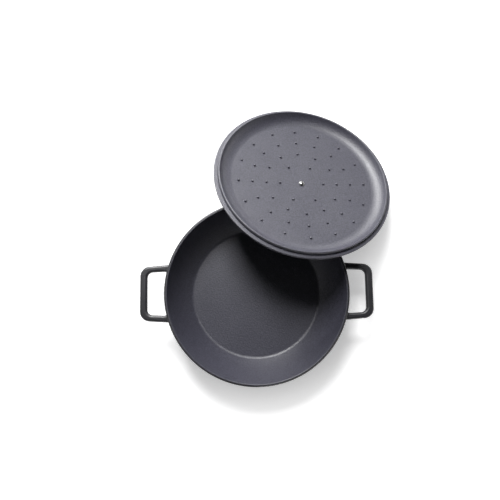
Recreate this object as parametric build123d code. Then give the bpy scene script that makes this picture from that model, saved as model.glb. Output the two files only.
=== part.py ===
from build123d import *
import math
import os

os.makedirs("parts", exist_ok=True)

# Sizes in millimetres, angles in degrees.
# The base stands on z = 0 with its centre at the origin, and the two handles lie along X.

# Pan bowl
rim_radius = 145.0
rim_height = 66.0
rim_width = 4.7
rim_outer_round = 1.7
rim_inner_round = 1.0
wall_spread = 39.6
floor_thickness = 5.0
floor_round = 6.0
base_step = 2.0
base_round = 6.0
wall_turn = 35.0

# Loop handles
handle_reach = 38.0
handle_drop = 6.0
handle_thickness = 10.5
handle_edge_round = 3.6
handle_root_half = 44.6
handle_taper = 2.7
handle_corner_round = 15.5
handle_root_round = 9.0
bar_width = 11.3
arm_root_width = 10.3
arm_end_width = 8.9
opening_corner_round = 8.6
opening_root_round = 8.0

# Lid, drawn with its underside up and the seat plane at z = 0
lid_overlap = 0.0
seat_thickness = 4.2
seat_edge_round = 1.2
lid_edge_round = 2.0
lip_height = 5.7
lip_width = 2.4
lip_draft = 0.9
lip_clearance = 1.0
lip_round = 1.0
panel_depth = 13.2
cove_width = 20.0
panel_rise = 4.8
lid_wall = 4.8
boss_radius = 23.0
boss_height = 0.8

# Basting nubs on the lid's underside
nub_rings = (6, 12, 16, 16)
nub_first_ring = 36.4
nub_margin = 11.3
nub_radius = 2.2
nub_height = 2.4
nub_tip_radius = 1.3
nub_root = 1.0
nub_turn = -64.9

# Knob, washer and screw
knob_radius = 19.0
knob_height = 28.0
knob_foot_radius = 11.5
knob_foot_height = 1.6
knob_neck_radius = 9.5
knob_crown = 4.0
knob_edge_round = 2.0
washer_thickness = 1.0
shank_radius = 2.5
hole_clearance = 0.25
thread_clearance = 0.05
thread_depth = 14.0
thread_run_out = 2.0
head_radius = 4.75
head_height = 3.1
head_edge = 0.9
recess_width = 1.1
recess_length = 5.0
recess_depth = 1.6
screw_seat_radius = 8.0

# How the lifted lid leans: its edge on the table, its dome over the rim
lean_tilt = 23.8
lean_azimuth = 66.6
lean_gap = 0.3

# Sizes that follow from the ones above
mouth_radius = rim_radius - rim_width
floor_radius = rim_radius - wall_spread
base_radius = floor_radius + base_step
lid_radius = rim_radius + lid_overlap
lip_outer = mouth_radius - lip_clearance
lip_crest_outer = lip_outer - lip_draft
lip_crest_inner = lip_crest_outer - lip_width
panel_radius = lip_crest_inner - cove_width
nub_ring_step = (panel_radius - nub_margin - nub_first_ring) / (len(nub_rings) - 1)
dome_radius = (panel_radius ** 2 + panel_rise ** 2) / (2 * panel_rise)
dome_apex = -panel_depth - lid_wall
boss_plane = dome_apex - boss_height
handle_top = rim_height - handle_drop
handle_bottom = handle_top - handle_thickness
handle_end = rim_radius + handle_reach
handle_end_half = handle_root_half - handle_taper
opening_root_half = handle_root_half - arm_root_width
opening_end_half = handle_end_half - arm_end_width
bore_radius = shank_radius + hole_clearance
tap_radius = shank_radius + thread_clearance


def arc_middle(start, end, turn):
    """Middle point of an arc that bulges to the right of start to end and turns by turn degrees."""
    dx = end[0] - start[0]
    dz = end[1] - start[1]
    sag = math.tan(math.radians(turn / 4)) / 2
    return ((start[0] + end[0]) / 2 + sag * dz, (start[1] + end[1]) / 2 - sag * dx)


def bulge(start, end, turn):
    return ThreePointArc(start, arc_middle(start, end, turn), end)


def arc_radius_at(start, end, turn, height):
    """Distance from the axis of the arc's point at a height."""
    chord = math.dist(start, end)
    radius = chord / (2 * math.sin(math.radians(turn / 2)))
    middle = arc_middle(start, end, turn)
    half = ((start[0] + end[0]) / 2, (start[1] + end[1]) / 2)
    sag = math.dist(middle, half)
    centre_x = middle[0] + (half[0] - middle[0]) * radius / sag
    centre_z = middle[1] + (half[1] - middle[1]) * radius / sag
    return centre_x + math.sqrt(radius ** 2 - (height - centre_z) ** 2)


def dome_height(distance):
    """Rise of the domed panel above its centre."""
    return dome_radius - math.sqrt(dome_radius ** 2 - distance ** 2)


def dome_arc(inner, outer, level):
    """Arc of the domed panel, from one distance off the axis to another."""
    middle = (inner + outer) / 2
    return ThreePointArc(
        (inner, level + dome_height(inner)),
        (middle, level + dome_height(middle)),
        (outer, level + dome_height(outer)),
    )


def rounded(face, corners):
    """Round the corners of a flat outline: a list of (point, radius)."""
    for point, radius in corners:
        corner = face.vertices().sort_by_distance((point[0], point[1], 0))[0]
        face = fillet(corner, radius)
    return face


def turned(lines, corners):
    """Solid of revolution about Z from an outline in (distance, height)."""
    outline = rounded(Sketch() + make_face(lines), corners)
    return revolve(Plane.XZ * outline, Axis.Z)


def make_bowl():
    floor_edge = (floor_radius, floor_thickness)
    mouth_edge = (mouth_radius, rim_height)
    rim_edge = (rim_radius, rim_height)
    base_edge = (base_radius, 0)
    lines = [
        Line((0, 0), base_edge),
        bulge(base_edge, rim_edge, wall_turn),
        Line(rim_edge, mouth_edge),
        bulge(floor_edge, mouth_edge, wall_turn),
        Line(floor_edge, (0, floor_thickness)),
        Line((0, floor_thickness), (0, 0)),
    ]
    corners = [
        (rim_edge, rim_outer_round),
        (mouth_edge, rim_inner_round),
        (floor_edge, floor_round),
        (base_edge, base_round),
    ]
    return turned(lines, corners)


def wall_outer_radius(height):
    return arc_radius_at((base_radius, 0), (rim_radius, rim_height), wall_turn, height)


def wall_inner_radius(height):
    start = (floor_radius, floor_thickness)
    return arc_radius_at(start, (mouth_radius, rim_height), wall_turn, height)


def tapered(root, end, root_half, end_half):
    """Four-sided outline, wider at the root than at the end."""
    return make_face(
        Polyline(
            (root, -root_half),
            (end, -end_half),
            (end, end_half),
            (root, root_half),
            close=True,
        )
    )


def loop_shape(end, rim_half, end_half):
    """Root, end and the half widths there of a loop's outline, carried back inside the wall."""
    root = rim_radius - handle_reach
    slope = (rim_half - end_half) / (end - rim_radius)
    return root, end, rim_half + slope * handle_reach, end_half


def loop_corners(shape, root_round, end_round):
    """Corners of a loop's outline: where its sides meet the wall, and at its far end."""
    root, end, root_half, end_half = shape
    wall_radius = wall_outer_radius(handle_bottom)
    slope = (root_half - end_half) / (end - root)
    half = root_half - slope * (wall_radius - root)
    across = math.sqrt(wall_radius ** 2 - half ** 2)
    corners = []
    for sign in (-1, 1):
        corners.append(((across, sign * half), root_round))
        corners.append(((end, sign * end_half), end_round))
    return corners


def handle_outline():
    shape = loop_shape(handle_end, handle_root_half, handle_end_half)
    outline = Sketch() + tapered(*shape) + Circle(wall_outer_radius(handle_bottom))
    return rounded(outline, loop_corners(shape, handle_root_round, handle_corner_round))


def handle_opening():
    shape = loop_shape(handle_end - bar_width, opening_root_half, opening_end_half)
    outline = Sketch() + tapered(*shape) - Circle(wall_outer_radius(handle_bottom))
    return rounded(outline, loop_corners(shape, opening_root_round, opening_corner_round))


def make_handle():
    """Right-hand loop handle, cut off inside the thickness of the wall."""
    plan = handle_outline() - handle_opening()
    loop = extrude(Plane.XY.offset(handle_bottom) * plan, handle_thickness)
    flat = loop.faces().sort_by(Axis.Z)
    edges = flat[-1].edges() + flat[0].edges()
    loop = fillet(edges, handle_edge_round)
    keep = Pos(handle_end, 0, 0) * Box(handle_end, 3 * handle_root_half, 4 * rim_height)
    inside = (wall_inner_radius(handle_top) + wall_outer_radius(handle_bottom)) / 2
    return (loop & keep) - Cylinder(inside, 4 * rim_height)


def make_pan():
    handle = make_handle()
    return make_bowl() + handle + handle.rotate(Axis.Z, 180)


def lid_blank():
    level = -panel_depth
    screw_seat = level + dome_height(screw_seat_radius)
    cove_start = (panel_radius, level + panel_rise)
    crest_inner = (lip_crest_inner, lip_height)
    crest_outer = (lip_crest_outer, lip_height)
    seat_inner = (lip_outer, 0)
    seat_outer = (lid_radius, 0)
    edge_low = (lid_radius, -seat_thickness)
    shoulder = (lip_outer + lip_draft, -seat_thickness)
    flank = (panel_radius, dome_apex + panel_rise)
    panel_slope = math.degrees(math.asin(panel_radius / dome_radius))
    cove_turn = 2 * (chord_angle(cove_start, crest_inner) - panel_slope)
    flank_turn = 2 * (chord_angle(flank, shoulder) - panel_slope)
    lines = [
        Line((bore_radius, screw_seat), (screw_seat_radius, screw_seat)),
        dome_arc(screw_seat_radius, panel_radius, level),
        bulge(cove_start, crest_inner, cove_turn),
        Line(crest_inner, crest_outer),
        Line(crest_outer, seat_inner),
        Line(seat_inner, seat_outer),
        Line(seat_outer, edge_low),
        Line(edge_low, shoulder),
        bulge(flank, shoulder, flank_turn),
        dome_arc(boss_radius, panel_radius, dome_apex),
        Line((boss_radius, dome_apex + dome_height(boss_radius)), (boss_radius, boss_plane)),
        Line((boss_radius, boss_plane), (bore_radius, boss_plane)),
        Line((bore_radius, boss_plane), (bore_radius, screw_seat)),
    ]
    corners = [
        (crest_inner, lip_round),
        (crest_outer, lip_round),
        (seat_outer, seat_edge_round),
        (edge_low, lid_edge_round),
    ]
    return turned(lines, corners)


def chord_angle(start, end):
    return math.degrees(math.atan2(end[1] - start[1], end[0] - start[0]))


def make_nub():
    """One domed nub with its foot sunk into the panel."""
    lines = [
        Line((0, -nub_root), (nub_radius, -nub_root)),
        Line((nub_radius, -nub_root), (nub_radius, 0)),
        Line((nub_radius, 0), (nub_tip_radius, nub_height)),
        Line((nub_tip_radius, nub_height), (0, nub_height)),
        Line((0, nub_height), (0, -nub_root)),
    ]
    corners = [((nub_tip_radius, nub_height), nub_tip_radius * 0.9)]
    return turned(lines, corners)


def make_nubs():
    nub = make_nub()
    nubs = []
    for ring, count in enumerate(nub_rings):
        distance = nub_first_ring + ring * nub_ring_step
        height = dome_height(distance) - panel_depth
        for index in range(count):
            turn = nub_turn + 360 * index / count
            nubs.append(Rot(0, 0, turn) * Pos(distance, 0, height) * nub)
    return nubs


def make_lid():
    return lid_blank() + make_nubs()


def make_knob():
    """Mushroom knob, with its foot at z = 0 and its crown pointing down."""
    brim = knob_height - knob_crown
    neck_end = (knob_radius * 0.74, -knob_height * 0.55)
    lines = [
        ThreePointArc(
            (0, -knob_height),
            (knob_radius * 0.6, -knob_height + knob_crown * 0.36),
            (knob_radius, -brim),
        ),
        Line((knob_radius, -brim), (knob_radius, -knob_height * 0.67)),
        Line((knob_radius, -knob_height * 0.67), neck_end),
        ThreePointArc(
            neck_end,
            (knob_neck_radius, -knob_height * 0.3),
            (knob_foot_radius, -knob_foot_height),
        ),
        Line((knob_foot_radius, -knob_foot_height), (knob_foot_radius, 0)),
        Line((knob_foot_radius, 0), (0, 0)),
        Line((0, 0), (0, -knob_height)),
    ]
    corners = [
        (neck_end, knob_edge_round),
        ((knob_radius, -knob_height * 0.67), knob_edge_round),
        ((knob_radius, -brim), knob_edge_round),
    ]
    body = turned(lines, corners)
    depth = thread_depth + thread_run_out
    return body - Pos(0, 0, -depth / 2) * Cylinder(tap_radius, depth)


def make_washer():
    """Thin ring between the lid and the knob, with its upper face at z = 0."""
    ring = Cylinder(knob_foot_radius, washer_thickness) - Cylinder(bore_radius, washer_thickness)
    return Pos(0, 0, -washer_thickness / 2) * ring


def make_screw(grip):
    """Cross-recess screw with the underside of its head at z = 0."""
    length = grip + thread_depth
    lines = [
        Line((0, -length), (shank_radius, -length)),
        Line((shank_radius, -length), (shank_radius, 0)),
        Line((shank_radius, 0), (head_radius, 0)),
        Line((head_radius, 0), (head_radius, head_edge)),
        ThreePointArc(
            (head_radius, head_edge),
            (head_radius * 0.64, head_edge + (head_height - head_edge) * 0.72),
            (0, head_height),
        ),
        Line((0, head_height), (0, -length)),
    ]
    body = turned(lines, [((shank_radius, -length), shank_radius * 0.25)])
    slot = Pos(0, 0, head_height) * Box(recess_length, recess_width, 2 * recess_depth)
    return body - (slot + slot.rotate(Axis.Z, 90))


def lean_plane():
    """Seat plane of the leaning lid, its X axis pointing down the slope."""
    tilt = math.radians(lean_tilt)
    low_side = lid_radius - lid_edge_round
    low_depth = seat_thickness - lid_edge_round
    height = lid_edge_round + low_side * math.sin(tilt) + low_depth * math.cos(tilt)
    reach = dome_radius + rim_outer_round + lean_gap
    centre_up = height + (dome_apex + dome_radius) * math.cos(tilt)
    drop = centre_up - (rim_height - rim_outer_round)
    across = math.sqrt(reach ** 2 - drop ** 2)
    out = rim_radius - rim_outer_round + across - (dome_apex + dome_radius) * math.sin(tilt)
    turn = math.radians(lean_azimuth)
    along = Vector(math.cos(turn), math.sin(turn), 0)
    up = Vector(0, 0, 1)
    return Plane(
        origin=along * out + up * height,
        x_dir=along * math.cos(tilt) - up * math.sin(tilt),
        z_dir=along * math.sin(tilt) + up * math.cos(tilt),
    )


seat = lean_plane()
head_plane = dome_height(screw_seat_radius) - panel_depth
parts = {
    "pan": make_pan(),
    "lid": seat * make_lid(),
    "knob_washer": seat * Pos(0, 0, boss_plane) * make_washer(),
    "knob": seat * Pos(0, 0, boss_plane - washer_thickness) * make_knob(),
    "knob_screw": seat
    * Pos(0, 0, head_plane)
    * make_screw(head_plane - boss_plane + washer_thickness),
}

for name, part in parts.items():
    part.label = name
    export_step(part, f"parts/{name}.step")
    size = part.bounding_box().size
    print(f"{name}: {size.X:.1f} x {size.Y:.1f} x {size.Z:.1f} mm, {part.volume / 1000:.2f} cm3")
print(f"lid centre {seat.origin.X:.1f}, {seat.origin.Y:.1f}, {seat.origin.Z:.1f}")
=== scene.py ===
import math

import bpy
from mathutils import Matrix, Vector

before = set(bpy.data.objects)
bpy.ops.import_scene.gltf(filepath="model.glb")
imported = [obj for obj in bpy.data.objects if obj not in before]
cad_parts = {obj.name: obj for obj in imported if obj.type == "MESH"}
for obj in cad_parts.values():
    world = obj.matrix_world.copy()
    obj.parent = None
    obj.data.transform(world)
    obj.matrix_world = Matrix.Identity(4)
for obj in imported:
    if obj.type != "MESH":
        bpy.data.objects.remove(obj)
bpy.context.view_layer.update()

WHITE = (1, 1, 1, 1)

# The camera looks almost straight down, from just in front of the pan.
CAMERA_PLACE = (-0.0216, -0.0334, 0.8782)
CAMERA_TURN = (6.982, -0.715, -0.876)
CAMERA_LENS = 37.59
SENSOR_WIDTH = 36.0
NEAREST_SEEN = 0.01

# Softboxes, all behind the lid and turned to the middle of the object:
# name, place, width, height, power
LIT_MIDDLE = (0.03, 0.08, 0.03)
SOFTBOXES = (
    ("key_softbox", (-0.24, 1.07, 1.26), 0.62, 0.62, 33.0),
    ("side_softbox", (-0.43, 1.51, 0.58), 0.7, 0.7, 22.0),
    ("low_softbox", (0.03, 1.66, 0.28), 0.8, 0.4, 3.0),
)
ROOM_LEVEL = 0.045

# White table: its own glow is low round the pan and the lid, where it keeps
# their shadows, and rises to full white far from them.
TABLE_SIZE = 8.0
TABLE_WHITE = (0.9, 0.9, 0.9, 1)
PAN_MIDDLE = (0.0, 0.0, 0.0)
PAN_SHADOW = (0.135, 0.207)
HANDLE_STRETCH = (0.87, 1.0, 1.0)
LID_MIDDLE = (0.07, 0.17, 0.0)
LID_SHADOW = (0.135, 0.21)
GLOW_IN_SHADOW = 0.44
GLOW_IN_OPEN = 0.82
FAR_TABLE = (0.4, 2.0)

# White backdrop: a round wall that fades towards its top
BACKDROP_SIDES = 96
BACKDROP_RADIUS = 4.0
BACKDROP_HEIGHT = 2.2
FADE_HEIGHTS = (-0.5, 1.1)
FADE_LEVELS = (1.0, 0.35)

# The pan's enamel is darkened to a part of itself outside the rim. FLAT leaves the
# height out of a distance, so that it is measured from the pan's axis.
RIM = 0.1405
RIM_BLEND = 0.002
FLAT = (1.0, 1.0, 0.0)
DARK_OUTSIDE = 0.2

# Black enamel
ENAMEL_DARK = (0.031, 0.0307, 0.0425)
ENAMEL_LIGHT = (0.061, 0.0604, 0.083)
ENAMEL_IOR = 1.7
ROUGH_DRIFT = 0.03


def place_camera():
    lens = bpy.data.cameras.new("pan_camera")
    lens.lens = CAMERA_LENS
    lens.sensor_width = SENSOR_WIDTH
    lens.clip_start = NEAREST_SEEN
    camera = bpy.data.objects.new("pan_camera", lens)
    camera.location = CAMERA_PLACE
    camera.rotation_euler = [math.radians(turn) for turn in CAMERA_TURN]
    bpy.context.scene.collection.objects.link(camera)
    bpy.context.scene.camera = camera


def softbox(name, place, width, height, power):
    lamp = bpy.data.lights.new(name, "AREA")
    lamp.shape = "RECTANGLE"
    lamp.size = width
    lamp.size_y = height
    lamp.energy = power
    holder = bpy.data.objects.new(name, lamp)
    holder.location = place
    aim = Vector(LIT_MIDDLE) - Vector(place)
    holder.rotation_euler = aim.to_track_quat("-Z", "Y").to_euler()
    bpy.context.scene.collection.objects.link(holder)


def new_material(name):
    material = bpy.data.materials.new(name)
    material.use_nodes = True
    tree = material.node_tree
    tree.nodes.clear()
    return material, tree


def node(tree, kind, **sockets):
    """Adds a shader node and sets its named sockets."""
    made = tree.nodes.new(kind)
    for socket, value in sockets.items():
        made.inputs[socket.replace("_", " ")].default_value = value
    return made


def object_coords(tree):
    return tree.nodes.new("ShaderNodeTexCoord").outputs["Object"]


def give_surface(tree, shader):
    output = tree.nodes.new("ShaderNodeOutputMaterial")
    tree.links.new(shader.outputs[0], output.inputs["Surface"])


def join(tree, kind, first, second):
    """Math on two sockets."""
    made = tree.nodes.new("ShaderNodeMath")
    made.operation = kind
    tree.links.new(first, made.inputs[0])
    tree.links.new(second, made.inputs[1])
    return made.outputs[0]


def mapped(tree, value, source, target=(0.0, 1.0), blend="LINEAR"):
    """Carries a value from one range to another, and holds it at the ends."""
    made = node(
        tree, "ShaderNodeMapRange",
        From_Min=source[0], From_Max=source[1], To_Min=target[0], To_Max=target[1],
    )
    made.interpolation_type = blend
    tree.links.new(value, made.inputs["Value"])
    return made.outputs["Result"]


def scaled(tree, coords, factors):
    """The coordinates with each axis drawn in by its own factor."""
    made = tree.nodes.new("ShaderNodeVectorMath")
    made.operation = "MULTIPLY"
    made.inputs[1].default_value = factors
    tree.links.new(coords, made.inputs[0])
    return made.outputs["Vector"]


def away_from(tree, place, centre, reach):
    """0 within the first distance of a centre, 1 beyond the second one."""
    gap = tree.nodes.new("ShaderNodeVectorMath")
    gap.operation = "DISTANCE"
    gap.inputs[1].default_value = centre
    tree.links.new(place, gap.inputs[0])
    return mapped(tree, gap.outputs["Value"], reach, blend="SMOOTHSTEP")


def toned(tree, colour, where, level):
    """Darkens a colour to a level of itself where the mask is 1."""
    made = tree.nodes.new("ShaderNodeMix")
    made.data_type = "RGBA"
    made.blend_type = "MULTIPLY"
    tree.links.new(where, made.inputs[0])
    tree.links.new(colour, made.inputs[6])
    made.inputs[7].default_value = (level, level, level, 1)
    return made.outputs[2]


def seen_directly(tree):
    """1 where the eye or a reflection looks at the surface, 0 for the light it gives off."""
    path = tree.nodes.new("ShaderNodeLightPath")
    by_eye_or_gloss = join(
        tree, "MAXIMUM", path.outputs["Is Camera Ray"], path.outputs["Is Glossy Ray"]
    )
    return join(tree, "MAXIMUM", by_eye_or_gloss, path.outputs["Is Transmission Ray"])


def light_the_room():
    world = bpy.data.worlds.new("studio_room")
    bpy.context.scene.world = world
    world.use_nodes = True
    tree = world.node_tree
    tree.nodes.clear()
    room = node(tree, "ShaderNodeBackground", Color=WHITE, Strength=ROOM_LEVEL)
    output = tree.nodes.new("ShaderNodeOutputWorld")
    tree.links.new(room.outputs[0], output.inputs["Surface"])
    for name, place, width, height, power in SOFTBOXES:
        softbox(name, place, width, height, power)


def lay_white_floor():
    bpy.ops.object.select_all(action="DESELECT")
    bpy.ops.mesh.primitive_plane_add(size=TABLE_SIZE)
    floor = bpy.context.object
    floor.name = "white_table"
    material, tree = new_material("white_table")
    matte = node(tree, "ShaderNodeBsdfDiffuse", Color=TABLE_WHITE, Roughness=1.0)
    glow = node(tree, "ShaderNodeEmission", Color=WHITE)
    place = object_coords(tree)
    along_handles = scaled(tree, place, HANDLE_STRETCH)
    past_pan = away_from(tree, along_handles, PAN_MIDDLE, PAN_SHADOW)
    past_lid = away_from(tree, place, LID_MIDDLE, LID_SHADOW)
    open_table = join(tree, "MINIMUM", past_pan, past_lid)
    near_level = mapped(tree, open_table, (0.0, 1.0), (GLOW_IN_SHADOW, GLOW_IN_OPEN))
    far_level = away_from(tree, place, PAN_MIDDLE, FAR_TABLE)
    level = join(tree, "MAXIMUM", near_level, far_level)
    seen = join(tree, "MULTIPLY", level, seen_directly(tree))
    tree.links.new(seen, glow.inputs["Strength"])
    both = tree.nodes.new("ShaderNodeAddShader")
    tree.links.new(matte.outputs[0], both.inputs[0])
    tree.links.new(glow.outputs[0], both.inputs[1])
    give_surface(tree, both)
    floor.data.materials.append(material)


def hang_white_backdrop():
    """A round white wall about the table, seen by the eye and in reflections."""
    bpy.ops.object.select_all(action="DESELECT")
    bpy.ops.mesh.primitive_cylinder_add(
        vertices=BACKDROP_SIDES, radius=BACKDROP_RADIUS, depth=BACKDROP_HEIGHT,
        end_fill_type="NOTHING", location=(0, 0, BACKDROP_HEIGHT / 2),
    )
    backdrop = bpy.context.object
    backdrop.name = "white_backdrop"
    material, tree = new_material("white_backdrop")
    glow = node(tree, "ShaderNodeEmission", Color=WHITE)
    place = tree.nodes.new("ShaderNodeSeparateXYZ")
    tree.links.new(object_coords(tree), place.inputs[0])
    level = mapped(tree, place.outputs["Z"], FADE_HEIGHTS, FADE_LEVELS, "SMOOTHSTEP")
    seen = join(tree, "MULTIPLY", level, seen_directly(tree))
    tree.links.new(seen, glow.inputs["Strength"])
    give_surface(tree, glow)
    backdrop.data.materials.append(material)


def noise(tree, coords, scale, detail, roughness):
    made = node(tree, "ShaderNodeTexNoise", Scale=scale, Detail=detail, Roughness=roughness)
    tree.links.new(coords, made.inputs["Vector"])
    return made.outputs["Fac"]


def ramp(tree, value, low, high):
    """Blends two colours over a value; low and high are each a position and its colour."""
    made = tree.nodes.new("ShaderNodeValToRGB")
    for element, (position, colour) in zip(made.color_ramp.elements, (low, high)):
        element.position = position
        element.color = (*colour, 1)
    tree.links.new(value, made.inputs["Fac"])
    return made.outputs["Color"]


def spread(tree, value, low, high):
    """Stretches the middle of a noise over a range."""
    return mapped(tree, value, (0.3, 0.7), (low, high))


def bump(tree, height, strength, distance, below=None):
    made = node(tree, "ShaderNodeBump", Strength=strength, Distance=distance)
    tree.links.new(height, made.inputs["Height"])
    if below is not None:
        tree.links.new(below, made.inputs["Normal"])
    return made.outputs["Normal"]


def black_enamel(name, rough, dark_outside=None):
    """Satin black enamel on cast iron: pebbled grain over a slow unevenness.

    Given a level, the enamel outside the pan's rim is darkened to it.
    """
    material, tree = new_material(name)
    coords = object_coords(tree)
    grain = noise(tree, coords, 1300.0, 3.0, 0.6)
    pebble = noise(tree, coords, 420.0, 2.5, 0.55)
    drift = noise(tree, coords, 18.0, 3.0, 0.5)
    shader = node(tree, "ShaderNodeBsdfPrincipled", IOR=ENAMEL_IOR)
    tint = ramp(tree, pebble, (0.3, ENAMEL_DARK), (0.7, ENAMEL_LIGHT))
    if dark_outside is not None:
        from_axis = scaled(tree, coords, FLAT)
        outside = away_from(tree, from_axis, PAN_MIDDLE, (RIM, RIM + RIM_BLEND))
        tint = toned(tree, tint, outside, dark_outside)
    tree.links.new(tint, shader.inputs["Base Color"])
    roughness = spread(tree, drift, rough - ROUGH_DRIFT, rough + ROUGH_DRIFT)
    tree.links.new(roughness, shader.inputs["Roughness"])
    uneven = bump(tree, pebble, 0.42, 0.0008)
    grainy = bump(tree, grain, 0.3, 0.0003, uneven)
    tree.links.new(grainy, shader.inputs["Normal"])
    give_surface(tree, shader)
    return material


def turned_steel(name):
    """Bright screw steel with faint scuffs."""
    material, tree = new_material(name)
    scuff = noise(tree, object_coords(tree), 900.0, 4.0, 0.6)
    shader = node(tree, "ShaderNodeBsdfPrincipled", Metallic=1.0)
    tint = ramp(tree, scuff, (0.3, (0.3, 0.3, 0.3)), (0.7, (0.5, 0.5, 0.49)))
    tree.links.new(tint, shader.inputs["Base Color"])
    tree.links.new(spread(tree, scuff, 0.22, 0.38), shader.inputs["Roughness"])
    tree.links.new(bump(tree, scuff, 0.1, 0.0001), shader.inputs["Normal"])
    give_surface(tree, shader)
    return material


def black_gasket(name):
    """Dull black rubber with a dusty bloom."""
    material, tree = new_material(name)
    bloom = noise(tree, object_coords(tree), 260.0, 4.0, 0.65)
    shader = node(tree, "ShaderNodeBsdfPrincipled")
    tint = ramp(tree, bloom, (0.35, (0.012, 0.012, 0.012)), (0.7, (0.03, 0.03, 0.03)))
    tree.links.new(tint, shader.inputs["Base Color"])
    tree.links.new(spread(tree, bloom, 0.7, 0.9), shader.inputs["Roughness"])
    tree.links.new(bump(tree, bloom, 0.15, 0.0002), shader.inputs["Normal"])
    give_surface(tree, shader)
    return material


def finish_piece(name, material):
    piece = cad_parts[name]
    piece.data.materials.clear()
    piece.data.materials.append(material)


bpy.context.scene.view_settings.view_transform = "Standard"
place_camera()
light_the_room()
lay_white_floor()
hang_white_backdrop()

finish_piece("pan", black_enamel("pan_enamel", 0.46, DARK_OUTSIDE))
finish_piece("lid", black_enamel("lid_enamel", 0.44))
finish_piece("knob", black_enamel("knob_enamel", 0.47))
finish_piece("knob_screw", turned_steel("screw_steel"))
finish_piece("knob_washer", black_gasket("washer_rubber"))
